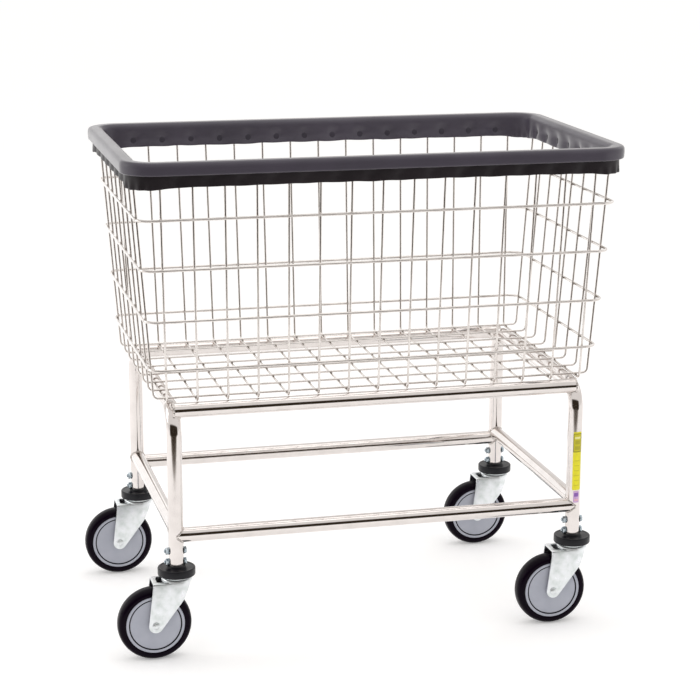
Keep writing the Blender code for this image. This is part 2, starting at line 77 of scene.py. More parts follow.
# Basket wires
WIRE_R = 0.0020
HOOP_R = 0.0024
CROSS_WIRES = 15
LONG_WIRES = 8
CROSS_PITCH_FLOOR = 0.0519
CROSS_PITCH_TOP = 0.0533
LONG_PITCH_FLOOR = 0.0554
LONG_PITCH_TOP = 0.0570
CROSS_FLOOR_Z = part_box("cross_wire_08")[0].z + WIRE_R
LONG_FLOOR_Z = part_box("long_wire_4")[0].z + WIRE_R
WIRE_TOP_Z = 0.8380
FLOOR_HALF_LENGTH = 0.3830
FLOOR_HALF_WIDTH = 0.2100
TOP_HALF_LENGTH = 0.4125
TOP_HALF_WIDTH = 0.2384
WIRE_BEND_R = 0.009
WIRE_SIDES = 14
NUGGET_SIZE = (0.00215, 0.00215, 0.00155)
HOOPS = {f"hoop_wire_{n}": middle(f"hoop_wire_{n}").z for n in (1, 2, 3, 4)}
HOOP_CORNER_R = 0.023

# Rim
ROD_R = 0.0030
ROD_HALF_LENGTH = TOP_HALF_LENGTH + WIRE_R + GAP + ROD_R
ROD_HALF_WIDTH = TOP_HALF_WIDTH + WIRE_R + GAP + ROD_R
ROD_CORNER_R = 0.042
RIM_TOP_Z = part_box("rim_bumper")[1].z
SKIRT_BOTTOM_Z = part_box("rim_bumper")[0].z
RIM_LIP_Z = 0.8294
CHANNEL_TOP_Z = 0.8430
RIM_OUTER = 0.0150
SKIRT_OUTER = 0.0063
CHANNEL_OUTER = 0.0034
CHANNEL_INNER = -0.0095
RIM_INNER = -0.0120

# Casters
WHEEL_R = AXLE_Z
TYRE_HALF_WIDTH = 0.016
TYRE_INNER_R = 0.0508
FORK_HALF_WIDTH = 0.022
FORK_SHEET = 0.003
FORK_REAR_X = -0.0425
FORK_SHELL_REAR_X = -0.0530
FORK_NOSE_X = 0.024
FORK_TOP_Z = 0.1385
FORK_TIP_R = 0.0122
FORK_KNEE = (0.009, 0.107)
RACEWAY_R = 0.026
RACEWAY_TOP_Z = 0.1423
DISC_R = 0.032
DISC_BOTTOM_Z = 0.1460
DISC_TOP_Z = 0.1597
CROSS_BOLT_HEIGHTS = (0.1685, 0.1880)
BOLT_HEAD_R = 0.0062
SHADED_GROOVE = (0.0430, 0.0456)  # radii of the thin groove in the wheel core, whose faces are made black: painted shade
SHADED_GROOVE_DEPTH = 0.0135


# ---- Geometry helpers ----------------------------------------

def link(name, mesh):
    obj = bpy.data.objects.new(name, mesh)
    bpy.context.scene.collection.objects.link(obj)
    return obj


def mesh_from(name, vertices, faces):
    mesh = bpy.data.meshes.new(name)
    mesh.from_pydata([tuple(v) for v in vertices], [], faces)
    mesh.update()
    return mesh


def shade(mesh, angle=40):
    mesh.shade_smooth()
    mesh.set_sharp_from_angle(angle=math.radians(angle))
    return mesh


def place(obj, body, material, replaces=()):
    """Finish a piece: its material, the body it rides on and the nodes it stands for."""
    if not obj.data.materials:
        obj.data.materials.append(material)
    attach(obj, body)
    if replaces:
        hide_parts(*replaces)
    return obj


def fillet(corners, radius, steps, closed=False):
    """Points along the corners' polyline, with an arc of the given radius at each bend."""
    corners = [Vector(corner) for corner in corners]
    points = []
    for i, corner in enumerate(corners):
        if not closed and i in (0, len(corners) - 1):
            points.append(corner)
            continue
        back = (corners[i - 1] - corner).normalized()
        ahead = (corners[(i + 1) % len(corners)] - corner).normalized()
        half = back.angle(ahead) / 2
        centre = corner + (back + ahead).normalized() * (radius / math.sin(half))
        start = corner + back * (radius / math.tan(half)) - centre
        end = corner + ahead * (radius / math.tan(half)) - centre
        sweep = start.angle(end)
        for k in range(steps + 1):
            turned = sweep * k / steps
            spoke = start * math.sin(sweep - turned) + end * math.sin(turned)
            points.append(centre + spoke / math.sin(sweep))
    return points


def circle(count, start=0.0):
    """The cosine and sine of equally spaced turns."""
    turns = [math.tau * (k + start) / count for k in range(count)]
    return [(math.cos(turn), math.sin(turn)) for turn in turns]


def strip_faces(rings, sides, closed=False):
    """The four-sided faces between neighbouring rings of vertices."""
    faces = []
    for i in range(rings if closed else rings - 1):
        a, b = i * sides, (i + 1) % rings * sides
        for k in range(sides):
            n = (k + 1) % sides
            faces.append((a + k, a + n, b + n, b + k))
    return faces


def divided(points, longest, closed=False):
    """The same polyline with its long runs split into equal parts."""
    result = []
    count = len(points) if closed else len(points) - 1
    for i in range(count):
        here, there = points[i], points[(i + 1) % len(points)]
        parts = max(1, math.ceil((there - here).length / longest))
        result += [here.lerp(there, k / parts) for k in range(parts)]
    if not closed:
        result.append(points[-1])
    return result


def directions(points, closed):
    result = []
    last = len(points) - 1
    for i, here in enumerate(points):
        before = points[i - 1] if closed or i > 0 else here
        after = points[(i + 1) % len(points)] if closed or i < last else here
        first = (here - before).normalized() if before != here else Vector()
        second = (after - here).normalized() if after != here else Vector()
        result.append((first + second).normalized())
    return result


def round_tube(points, radii, sides, closed=False, start=None):
    """Vertices and faces of a round tube along the points, its ends capped."""
    along = directions(points, closed)
    side = start or along[0].orthogonal().normalized()
    vertices = []
    for i, (here, ahead) in enumerate(zip(points, along)):
        side = (side - ahead * side.dot(ahead)).normalized()
        up = ahead.cross(side)
        radius = radii[i] if isinstance(radii, list) else radii
        vertices += [here + (side * c + up * s) * radius for c, s in circle(sides)]
    faces = strip_faces(len(points), sides, closed)
    if not closed:
        faces.append(tuple(reversed(range(sides))))
        faces.append(tuple(range((len(points) - 1) * sides, len(points) * sides)))
    return vertices, faces


def merged(parts):
    """One list of vertices and one of faces from several."""
    vertices, faces = [], []
    for part_vertices, part_faces in parts:
        base = len(vertices)
        vertices += part_vertices
        faces += [tuple(base + k for k in face) for face in part_faces]
    return vertices, faces


def turned(profile, steps, closed=False):
    """Turn (radius, height) points about Z. Points on the axis close the shape."""
    vertices, rings = [], []
    for radius, height in profile:
        if radius < 1e-7:
            rings.append([len(vertices)] * steps)
            vertices.append(Vector((0, 0, height)))
            continue
        rings.append([len(vertices) + k for k in range(steps)])
        vertices += [Vector((radius * c, radius * s, height)) for c, s in circle(steps)]
    faces = []
    pairs = list(zip(rings, rings[1:]))
    if closed:
        pairs.append((rings[-1], rings[0]))
    for upper, lower in pairs:
        for k in range(steps):
            n = (k + 1) % steps
            face = [upper[k], lower[k], lower[n], upper[n]]
            face = [v for i, v in enumerate(face) if v not in face[:i]]
            if len(face) > 2:
                faces.append(tuple(face))
    return vertices, faces


def rounded_profile(corners, steps=4, closed=False):
    """A (radius, height) profile whose corners, given as (r, h, rounding), are eased."""
    points = []
    count = len(corners)
    for i, (radius, height, rounding) in enumerate(corners):
        if rounding == 0 or not closed and i in (0, count - 1):
            points.append((radius, height))
            continue
        bend = [Vector((*corners[(i + n) % count][:2], 0)) for n in (-1, 0, 1)]
        points += [(p.x, p.y) for p in fillet(bend, rounding, steps)[1:-1]]
    return points


def moved(part, turn, at):
    """A part's vertices turned about the origin and moved, with its faces."""
    return [turn @ v + Vector(at) for v in part[0]], part[1]


def mirrored(half):
    """A profile with its mirror image below, for a part that is the same on both sides."""
    return half + [(radius, -height) for radius, height in reversed(half)]


def face_outwards(mesh):
    bm = bmesh.new()
    bm.from_mesh(mesh)
    bmesh.ops.recalc_face_normals(bm, faces=bm.faces)
    bm.to_mesh(mesh)
    bm.free()


def solid_object(name, shape, angle=40):
    return link(name, shade(mesh_from(name, *shape), angle))


def cart_piece(name, shape, look, nodes=(), angle=40):
    """A finished piece of the cart's own body."""
    return place(solid_object(name, shape, angle), "cart", look, nodes)


# ---- Materials -----------------------------------------------

def new_material(name):
    material = bpy.data.materials.new(name)
    material.use_nodes = True
    nodes = material.node_tree.nodes
    return material, nodes, material.node_tree.links, nodes["Principled BSDF"]


def noise_node(nodes, links, scale, detail=3.0, stretch=None):
    """A noise texture in the piece's own coordinates, stretched if asked."""
    coordinates = nodes.new("ShaderNodeTexCoord")
    texture = nodes.new("ShaderNodeTexNoise")
    texture.inputs["Scale"].default_value = scale
    texture.inputs["Detail"].default_value = detail
    if stretch:
        mapping = nodes.new("ShaderNodeMapping")
        mapping.inputs["Scale"].default_value = stretch
        links.new(coordinates.outputs["Object"], mapping.inputs["Vector"])
        links.new(mapping.outputs["Vector"], texture.inputs["Vector"])
    else:
        links.new(coordinates.outputs["Object"], texture.inputs["Vector"])
    return texture


def ramp(nodes, links, source, stops):
    """Map a value to colours: stops are (position, colour)."""
    node = nodes.new("ShaderNodeValToRGB")
    elements = node.color_ramp.elements
    while len(elements) < len(stops):
        elements.new(0.5)
    for element, (position, colour) in zip(elements, stops):
        element.position = position
        element.color = (*colour, 1.0)
    links.new(source, node.inputs["Fac"])
    return node.outputs["Color"]


def value_range(nodes, links, source, low, high, start=0.3, end=0.7):
    node = nodes.new("ShaderNodeMapRange")
    node.inputs["From Min"].default_value = start
    node.inputs["From Max"].default_value = end
    node.inputs["To Min"].default_value = low
    node.inputs["To Max"].default_value = high
    links.new(source, node.inputs["Value"])
    return node.outputs["Result"]


def add_bump(nodes, links, shader, source, strength, distance):
    bump = nodes.new("ShaderNodeBump")
    bump.inputs["Strength"].default_value = strength
    bump.inputs["Distance"].default_value = distance
    links.new(source, bump.inputs["Height"])
    links.new(bump.outputs["Normal"], shader.inputs["Normal"])


def finish(name, cloud, colours, roughness, grain, level=0.5, metallic=0.0):
    """A surface with clouded colour and roughness and a fine bump.

    cloud is the noise's (scale, detail), colours are the ramp's stops, roughness is its two
    ends, and grain is the bump's (scale, detail, strength, depth), with a stretch if it has one.
    """
    material, nodes, links, shader = new_material(name)
    shader.inputs["Metallic"].default_value = metallic
    shader.inputs["Specular IOR Level"].default_value = level
    drift = noise_node(nodes, links, *cloud).outputs["Fac"]
    links.new(ramp(nodes, links, drift, colours), shader.inputs["Base Color"])
    links.new(value_range(nodes, links, drift, *roughness), shader.inputs["Roughness"])
    scale, detail, strength, depth, *stretch = grain
    fine = noise_node(nodes, links, scale, detail, *stretch).outputs["Fac"]
    add_bump(nodes, links, shader, fine, strength, depth)
    return material


def plated_steel(name, bright, dull, roughness, grain):
    """Nickel-chrome plate: a warm bright metal, faintly clouded, with fine polishing grain."""
    return finish(name, (38.0, 4.0), [(0.35, dull), (0.6, bright)],
                  (roughness * 1.25, roughness * 0.8), (900.0, 2.0, grain, 0.00008), metallic=1.0)


def zinc_plate(name):
    """Bright zinc on pressed sheet: cool, faintly green and mottled, with drawing marks."""
    colours = [(0.3, (0.68, 0.73, 0.72)), (0.5, (0.80, 0.83, 0.84)), (0.7, (0.86, 0.88, 0.91))]
    return finish(name, (85.0, 5.0), colours, (0.40, 0.26),
                  (260.0, 3.0, 0.25, 0.00012, (1.0, 1.0, 0.12)), metallic=1.0)


def soft_vinyl(name, low, high, level, sheen):
    """Charcoal vinyl: satin, pale where it is seen edge on, with a very fine pebble."""
    material = finish(name, (11.0, 3.0), [(0.3, low), (0.7, high)], (0.47, 0.38),
                      (1300.0, 2.0, 0.20, 0.00015), level)
    shader = material.node_tree.nodes["Principled BSDF"]
    shader.inputs["Sheen Weight"].default_value = sheen
    shader.inputs["Sheen Roughness"].default_value = 0.30
    return material


def tyre_rubber(name):
    """Polyurethane tread: near black with a purple cast, smooth and faintly clouded."""
    colours = [(0.3, (0.0024, 0.0003, 0.0036)), (0.7, (0.0038, 0.0008, 0.0054))]
    return finish(name, (30.0, 3.0), colours, (0.36, 0.26), (420.0, 3.0, 0.10, 0.0002), 0.07)


def moulded_plastic(name, light, dark, roughness, grain, level=0.5):
    return finish(name, (45.0, 4.0), [(0.3, dark), (0.7, light)],
                  (roughness * 1.1, roughness * 0.9), (1500.0, 2.0, grain, 0.00015), level)


def math_node(nodes, links, operation, *sources):
    """A Math node whose inputs are outputs of other nodes or plain numbers."""
    node = nodes.new("ShaderNodeMath")
    node.operation = operation
    for socket, source in zip(node.inputs, sources):
        if isinstance(source, float):
            socket.default_value = source
        else:
            links.new(source, socket)
    return node.outputs["Value"]


def box_mask(nodes, links, split, half_width, low, high):
    """One inside a box across the sticker: |y| under half_width, z between low and high."""
    aside = math_node(nodes, links, "ABSOLUTE", split.outputs["Y"])
    inside = math_node(nodes, links, "LESS_THAN", aside, half_width)
    between = math_node(nodes, links, "COMPARE", split.outputs["Z"], (low + high) / 2, (high - low) / 2)
    return math_node(nodes, links, "MULTIPLY", inside, between)


def painted(nodes, links, below, colour, mask):
    """Paint a colour over what is below it, where the mask is one."""
    mix = nodes.new("ShaderNodeMix")
    mix.data_type = "RGBA"
    links.new(mask, mix.inputs["Factor"])
    links.new(below, mix.inputs["A"])
    mix.inputs["B"].default_value = (*colour, 1.0)
    return mix.outputs["Result"]


def sticker_paper(name, colour, faded, boxes):
    """A printed sticker: slightly faded paper with boxes of ink (half width, low, high, colour)."""
    material, nodes, links, shader = new_material(name)
    coordinates = nodes.new("ShaderNodeTexCoord")
    split = nodes.new("ShaderNodeSeparateXYZ")
    links.new(coordinates.outputs["Object"], split.inputs["Vector"])
    wear = noise_node(nodes, links, 160.0, 4.0)
    surface = ramp(nodes, links, wear.outputs["Fac"], [(0.3, faded), (0.62, colour)])
    for half_width, low, high, ink in boxes:
        surface = painted(nodes, links, surface, ink,
                          box_mask(nodes, links, split, half_width, low, high))
    links.new(surface, shader.inputs["Base Color"])
    fibre = noise_node(nodes, links, 700.0, 2.0)
    links.new(value_range(nodes, links, fibre.outputs["Fac"], 0.34, 0.44), shader.inputs["Roughness"])
    add_bump(nodes, links, shader, fibre.outputs["Fac"], 0.08, 0.0001)
    return material


CHROME = plated_steel("bright_chrome", (0.78, 0.735, 0.71), (0.73, 0.685, 0.66), 0.10, 0.05)
WIRE_CHROME = plated_steel("wire_chrome", (0.78, 0.74, 0.71), (0.70, 0.66, 0.63), 0.16, 0.08)
# The spot-weld metal is dark: partly the welds' own dull colour, partly painted shade where the wires
# cross.
DARK_WELD_AND_SHADE_METAL = plated_steel("plated_weld_and_painted_shade", (0.40, 0.37, 0.34), (0.18, 0.16, 0.14), 0.30, 0.5)
FILLET_METAL = plated_steel("plated_fillet", (0.66, 0.62, 0.59), (0.50, 0.46, 0.43), 0.22, 0.3)
BOLT_STEEL = plated_steel("zinc_bolt", (0.52, 0.58, 0.62), (0.36, 0.42, 0.46), 0.20, 0.2)
ZINC = zinc_plate("bright_zinc")
VINYL = soft_vinyl("charcoal_vinyl", (0.034, 0.027, 0.043), (0.050, 0.041, 0.061), 0.62, 0.85)
BUTTON_VINYL = soft_vinyl("button_vinyl", (0.024, 0.020, 0.031), (0.034, 0.028, 0.042), 0.40, 0.2)
# Much darker and duller than the band's vinyl: painted shade for the recessed skirt under the band's
# overhang.
SHADED_SKIRT_VINYL = soft_vinyl("skirt_vinyl_painted_shade", (0.009, 0.006, 0.008), (0.021, 0.016, 0.019), 0.26, 0.15)
TREAD = tyre_rubber("dark_tread")
CORE_GREY = moulded_plastic("grey_core", (0.405, 0.42, 0.48), (0.36, 0.375, 0.435), 0.40, 0.12)
DISC_BLACK = moulded_plastic("black_disc", (0.0060, 0.0062, 0.0095), (0.0038, 0.0040, 0.0065),
                             0.34, 0.35, 0.28)
YELLOW = (0.80, 0.74, 0.004)
INK = (0.16, 0.14, 0.004)
STICKER = sticker_paper("yellow_sticker", YELLOW, (0.72, 0.65, 0.02), [
    (0.0074, 0.3145, 0.3485, INK), (0.0064, 0.3158, 0.3472, (0.55, 0.50, 0.006)),
    (0.0050, 0.3385, 0.3425, (0.80, 0.76, 0.30)), (0.0046, 0.3290, 0.3360, (0.42, 0.38, 0.01)),
    (0.0046, 0.3190, 0.3255, (0.42, 0.38, 0.01)),
    *[(0.0050, z, z + 0.0016, (0.60, 0.54, 0.01)) for z in (0.253, 0.262, 0.271, 0.280, 0.289, 0.298)],
])
DECAL = sticker_paper("lilac_decal", (0.62, 0.42, 0.66), (0.50, 0.30, 0.56), [
    (0.0040, 0.2330, 0.2400, (0.24, 0.10, 0.42)), (0.0034, 0.2250, 0.2285, (0.80, 0.45, 0.50)),
])


# ---- Base ----------------------------------------------------

def end_tube_path(x, steps):
    corners = [
        (x, -LEG_HALF_Y, FOOT_Z),
        (x, -LEG_HALF_Y, TOP_TUBE_Z),
        (x, LEG_HALF_Y, TOP_TUBE_Z),
        (x, LEG_HALF_Y, FOOT_Z),
    ]
    return fillet(corners, TUBE_BEND_R, steps)


def distance_to(path, point):
    best = 1.0
    for a, b in zip(path, path[1:]):
        run = b - a
        t = max(0.0, min(1.0, (point - a).dot(run) / run.length_squared))
        best = min(best, (a + run * t - point).length)
    return best


def cope_depth(start, along, blockers):
    """How far from start a line leaves the tubes that it begins in."""
    def inside(depth):
        point = start + along * depth
        return any(distance_to(path, point) < radius for path, radius in blockers)

    low, high = 0.0, 2.2 * TUBE_R
    if not inside(low):
        return low
    for _ in range(14):
        half = (low + high) / 2
        if inside(half):
            low = half
        else:
            high = half
    return high


def coped_tube(start, end, radius, blockers, sides=40):
    """A straight tube whose ends are cut to the tubes that it meets: its shape and end rims."""
    start, end = Vector(start), Vector(end)
    along = (end - start).normalized()
    side = Vector((0, 0, 1))
    other = along.cross(side)
    spokes = [(side * c + other * s) * radius for c, s in circle(sides)]
    near = [start + s + along * cope_depth(start + s, along, blockers) for s in spokes]
    far = [end + s - along * cope_depth(end + s, -along, blockers) for s in spokes]
    vertices = near + [start + along * PLAIN_FROM_END + s for s in spokes]
    vertices += [end - along * PLAIN_FROM_END + s for s in spokes] + far
    faces = strip_faces(4, sides)
    for base, tip, flip in ((0, start, True), (3 * sides, end, False)):
        centre = len(vertices)
        vertices.append(tip)
        for k in range(sides):
            n = (k + 1) % sides
            faces.append((base + n, base + k, centre) if flip else (base + k, base + n, centre))
    return (vertices, faces), (near, far)


def weld_bead(rim, radius, ripples):
    """A fillet weld round a rim: a soft bead with overlapping ripples."""
    path = divided(rim, BEAD_STEP, closed=True)
    total = len(path)
    radii = []
    for i, point in enumerate(path):
        ripple = abs(math.sin(math.pi * ripples * i / total))
        swell = noise.noise(point * 150.0)
        radii.append(radius * (0.80 + 0.22 * ripple + 0.18 * swell))
    return round_tube(path, radii, 10, closed=True)


def build_base():
    beads, tubes, bars = [], [], []
    for side, sign in (("left", -1), ("right", 1)):
        x = CENTRE_X + sign * LEG_HALF_X
        path = end_tube_path(x, 18)
        tubes.append((path, TUBE_R - GAP))
        bent = round_tube(path, TUBE_R, 40, start=Vector((1, 0, 0)))
        cart_piece(f"{side}_end_tube", bent, CHROME, [f"{side}_end_frame"])
        ends = [Vector((x, y, SIDE_BAR_Z)) for y in (-LEG_HALF_Y, LEG_HALF_Y)]
        bars.append((ends, SIDE_BAR_R - GAP))
        bar, rims = coped_tube(*ends, SIDE_BAR_R, tubes[-1:])
        beads += [weld_bead(rim, BEAD_R, 17) for rim in rims]
        cart_piece(f"{side}_side_bar", bar, CHROME)
    for row, sign in (("front", -1), ("rear", 1)):
        for level, y, z, blockers in (("top", sign * TOP_RAIL_HALF_PITCH, TOP_TUBE_Z, tubes),
                                      ("lower", sign * LEG_HALF_Y, LOWER_RAIL_Z, tubes + bars)):
            ends = [(CENTRE_X + end * LEG_HALF_X, y, z) for end in (-1, 1)]
            rail, rims = coped_tube(*ends, TUBE_R, blockers)
            beads += [weld_bead(rim, BEAD_R, 19) for rim in rims]
            cart_piece(f"{row}_{level}_tube", rail, CHROME, [f"{row}_{level}_rail"])
    cart_piece("base_weld_beads", merged(beads), FILLET_METAL, angle=60)


# ---- Basket --------------------------------------------------

def wall_at(z, floor_half, top_half):
    share = (z - CROSS_FLOOR_Z) / (WIRE_TOP_Z - CROSS_FLOOR_Z)
    return floor_half + (top_half - floor_half) * share


def cross_wire_path(step):
    x_floor, x_top = CENTRE_X + step * CROSS_PITCH_FLOOR, CENTRE_X + step * CROSS_PITCH_TOP
    corners = [
        (x_top, -TOP_HALF_WIDTH, WIRE_TOP_Z),
        (x_floor, -FLOOR_HALF_WIDTH, CROSS_FLOOR_Z),
        (x_floor, FLOOR_HALF_WIDTH, CROSS_FLOOR_Z),
        (x_top, TOP_HALF_WIDTH, WIRE_TOP_Z),
    ]
    return fillet(corners, WIRE_BEND_R, 8)


def long_wire_path(step):
    y_floor, y_top = step * LONG_PITCH_FLOOR, step * LONG_PITCH_TOP
    x_floor = wall_at(LONG_FLOOR_Z, FLOOR_HALF_LENGTH, TOP_HALF_LENGTH)
    corners = [
        (CENTRE_X - TOP_HALF_LENGTH, y_top, WIRE_TOP_Z),
        (CENTRE_X - x_floor, y_floor, LONG_FLOOR_Z),
        (CENTRE_X + x_floor, y_floor, LONG_FLOOR_Z),
        (CENTRE_X + TOP_HALF_LENGTH, y_top, WIRE_TOP_Z),
    ]
    return fillet(corners, WIRE_BEND_R, 8)


def rectangle_path(half_length, half_width, z, radius, steps):
    corners = [
        (CENTRE_X + half_length, half_width, z),
        (CENTRE_X - half_length, half_width, z),
        (CENTRE_X - half_length, -half_width, z),
        (CENTRE_X + half_length, -half_width, z),
    ]
    return fillet(corners, radius, steps, closed=True)


def weld_nugget(centre, flat_axis, seed):
    """A small squashed spot weld between two crossed wires."""
    bm = bmesh.new()
    bmesh.ops.create_icosphere(bm, subdivisions=2, radius=1.0)
    turn = flat_axis.to_track_quat("Z", "Y").to_matrix()
    vertices = []
    for vertex in bm.verts:
        lump = 1.0 + 0.18 * noise.noise(vertex.co * 1.7 + Vector((seed, 0, 0)))
        vertices.append(centre + turn @ (vertex.co * Vector(NUGGET_SIZE) * lump))
    faces = [tuple(v.index for v in face.verts) for face in bm.faces]
    bm.free()
    return vertices, faces


def build_basket():
    nuggets = []
    cross_steps = [n - (CROSS_WIRES + 1) / 2 for n in range(1, CROSS_WIRES + 1)]
    long_steps = [n - (LONG_WIRES + 1) / 2 for n in range(1, LONG_WIRES + 1)]
    wires = [(f"cross_wire_{n:02d}", cross_wire_path(step)) for n, step in enumerate(cross_steps, 1)]
    wires += [(f"long_wire_{n}", long_wire_path(step)) for n, step in enumerate(long_steps, 1)]
    for name, path in wires:
        cart_piece(f"{name}_plated", round_tube(path, WIRE_R, WIRE_SIDES), WIRE_CHROME, [name])
    for x_step in cross_steps:
        for y_step in long_steps:
            centre = Vector((CENTRE_X + x_step * CROSS_PITCH_FLOOR, y_step * LONG_PITCH_FLOOR,
                             (CROSS_FLOOR_Z + LONG_FLOOR_Z) / 2))
            nuggets.append(weld_nugget(centre, Vector((0, 0, 1)), x_step * 3.1 + y_step * 7.7))
    outside = WIRE_R + GAP + HOOP_R
    contact = WIRE_R + GAP / 2
    for name, z in HOOPS.items():
        half_length = wall_at(z, FLOOR_HALF_LENGTH, TOP_HALF_LENGTH)
        half_width = wall_at(z, FLOOR_HALF_WIDTH, TOP_HALF_WIDTH)
        path = rectangle_path(half_length + outside, half_width + outside, z, HOOP_CORNER_R, 10)
        hoop = round_tube(path, HOOP_R, WIRE_SIDES, closed=True)
        cart_piece(f"{name}_plated", hoop, WIRE_CHROME, [name])
        share = (z - CROSS_FLOOR_Z) / (WIRE_TOP_Z - CROSS_FLOOR_Z)
        cross_pitch = CROSS_PITCH_FLOOR + (CROSS_PITCH_TOP - CROSS_PITCH_FLOOR) * share
        long_pitch = LONG_PITCH_FLOOR + (LONG_PITCH_TOP - LONG_PITCH_FLOOR) * share
        for sign in (-1, 1):
            for step in cross_steps:
                centre = Vector((CENTRE_X + step * cross_pitch, sign * (half_width + contact), z))
                nuggets.append(weld_nugget(centre, Vector((0, sign, 0)), step * 5.3 + z * 91))
            for step in long_steps:
                centre = Vector((CENTRE_X + sign * (half_length + contact), step * long_pitch, z))
                nuggets.append(weld_nugget(centre, Vector((sign, 0, 0)), step * 4.1 + z * 77))
    # Dark nuggets at each crossing: the welds' own colour and painted shade together.
    cart_piece("basket_spot_welds", merged(nuggets), DARK_WELD_AND_SHADE_METAL, angle=80)
    rod_path = rectangle_path(ROD_HALF_LENGTH, ROD_HALF_WIDTH, WIRE_TOP_Z, ROD_CORNER_R, 14)
    rod = round_tube(rod_path, ROD_R, WIRE_SIDES, closed=True)
    cart_piece("rim_rod_plated", rod, WIRE_CHROME, ["rim_rod"])


# ---- Rim bumper ----------------------------------------------

DIMPLE_Z = 0.8200
DIMPLE_WIDTH = 0.0072
INNER_DIMPLE = 0.0034
OUTER_DIMPLE = 0.0026
SKIRT_TOP_Z = 0.8270
CORNER_DROOP = 0.0050
CORNER_REACH = 0.045
PUCKER_PITCH = 0.0165
HEM_DROP = 0.0016
INNER_LEAN = 0.0022
SECTION_STEP = 0.0028
STATION_STEP = 0.0042
NEAR = 0.0005  # a point this near to a face of the section counts as on it


def bumper_section():
    """The section as (offset from the rod, height), eased at its corners and evenly divided."""
    corners = [
        (SKIRT_OUTER, SKIRT_BOTTOM_Z, 0.0012),
        (SKIRT_OUTER, RIM_LIP_Z + 0.0006, 0.0008),
        (RIM_OUTER - 0.0007, RIM_LIP_Z, 0.0024),
        (RIM_OUTER, (RIM_LIP_Z + RIM_TOP_Z) / 2, 0.0),
        (RIM_OUTER - 0.0007, RIM_TOP_Z, 0.0062),
        (RIM_INNER, RIM_TOP_Z, 0.0090),
        (RIM_INNER, SKIRT_BOTTOM_Z, 0.0010),
        (CHANNEL_INNER, SKIRT_BOTTOM_Z, 0.0008),
        (CHANNEL_INNER, CHANNEL_TOP_Z, 0.0010),
        (CHANNEL_OUTER, CHANNEL_TOP_Z, 0.0010),
        (CHANNEL_OUTER, SKIRT_BOTTOM_Z, 0.0008),
    ]
    points = [Vector((*point, 0)) for point in rounded_profile(corners, closed=True)]
    return [(p.x, p.y) for p in divided(points, SECTION_STEP, closed=True)]


def smooth_step(value):
    value = max(0.0, min(1.0, value))
    return value * value * (3 - 2 * value)


def along_rim(point):
    """At a point of the rim's path: how far the nearest button is, the pitch of the wires
    there, and how much the point belongs to a corner, from 0 to 1."""
    x, y = point.x - CENTRE_X, point.y
    to_corner_x = ROD_HALF_LENGTH - abs(x)
    to_corner_y = ROD_HALF_WIDTH - abs(y)
    reach = max(to_corner_x, to_corner_y)
    corner = smooth_step(1.6 - reach / CORNER_REACH)
    if to_corner_y < to_corner_x:
        pitch, place_on_side, count = CROSS_PITCH_TOP, x, CROSS_WIRES
    else:
        pitch, place_on_side, count = LONG_PITCH_TOP, y, LONG_WIRES
    shift = 0.5 if count % 2 else 0.0
    cell = place_on_side / pitch - shift
    away = (cell - round(cell)) * pitch
    return away, pitch, corner


def bumper_shift(point, distance, offset, z):
    """How far the soft skin stands from its plain section: (outwards, upwards)."""
    away, pitch, corner = along_rim(point)
    hang = smooth_step((SKIRT_TOP_Z - z) / (SKIRT_TOP_Z - SKIRT_BOTTOM_Z))
    straight = 1.0 - corner
    inner = offset < CHANNEL_INNER + NEAR
    outer_skirt = offset > CHANNEL_OUTER - NEAR and z < RIM_LIP_Z
    seed = 3.0 if inner else 0.0
    slow = noise.noise(Vector((distance * 9.0, seed, 0.0)))
    quick = noise.noise(Vector((distance * 42.0, seed + 5.0, z * 40.0)))
    shift, lift = 0.0, 0.0
    dimple = math.exp(-(away ** 2 + (z - DIMPLE_Z) ** 2) / (2 * DIMPLE_WIDTH ** 2)) * straight
    swell = -math.cos(math.tau * away / pitch) * straight
    puckers = math.sin(distance * math.tau / PUCKER_PITCH) * corner
    if inner:
        wall = smooth_step((RIM_TOP_Z - 0.009 - z) / 0.012)
        shift += INNER_DIMPLE * dimple - 0.0007 * swell * wall - INNER_LEAN * hang * straight
        shift += wall * (0.0006 * quick + 0.0011 * puckers * hang)
    if outer_skirt:
        shift += 0.0009 * swell * hang - OUTER_DIMPLE * dimple
        shift += hang * (0.0008 * quick + 0.0014 * puckers)
    if inner or outer_skirt:
        wave = 0.0005 * swell + 0.0013 * slow + 0.0005 * quick
        lift = hang * (wave - HEM_DROP - CORNER_DROOP * corner * (0.75 + 0.5 * slow))
    if offset > RIM_OUTER - 0.004:
        shift += 0.0002 * slow
    return shift, lift


def bumper_frames():
    """Stations round the rod's path: (point, outward direction, distance along)."""
    path = rectangle_path(ROD_HALF_LENGTH, ROD_HALF_WIDTH, 0.0, ROD_CORNER_R, 22)
    path = divided(path, STATION_STEP, closed=True)
    frames, distance = [], 0.0
    for i, (here, ahead) in enumerate(zip(path, directions(path, True))):
        frames.append((here, Vector((ahead.y, -ahead.x, 0.0)), distance))
        distance += (path[(i + 1) % len(path)] - here).length
    return frames


def build_bumper():
    section = bumper_section()
    frames = bumper_frames()
    vertices = []
    for point, outwards, distance in frames:
        for offset, z in section:
            shift, lift = bumper_shift(point, distance, offset, z)
            vertices.append(point + outwards * (offset + shift) + Vector((0, 0, z + lift)))
    count = len(section)
    faces = strip_faces(len(frames), count, closed=True)
    bumper = solid_object("rim_bumper_vinyl", (vertices, faces), 60)
    face_outwards(bumper.data)
    bumper.data.materials.append(VINYL)
    bumper.data.materials.append(SHADED_SKIRT_VINYL)
    # The outer skirt's faces get the darker skirt vinyl: painted shade in the recess under the band.
    painted_shade_skirt_points = [n for n, (offset, z) in enumerate(section)
                if offset > CHANNEL_OUTER - NEAR and z < RIM_LIP_Z + NEAR]
    for polygon in bumper.data.polygons:
        if all(v % count in painted_shade_skirt_points for v in polygon.vertices):
            polygon.material_index = 1
    place(bumper, "cart", None, ["rim_bumper"])


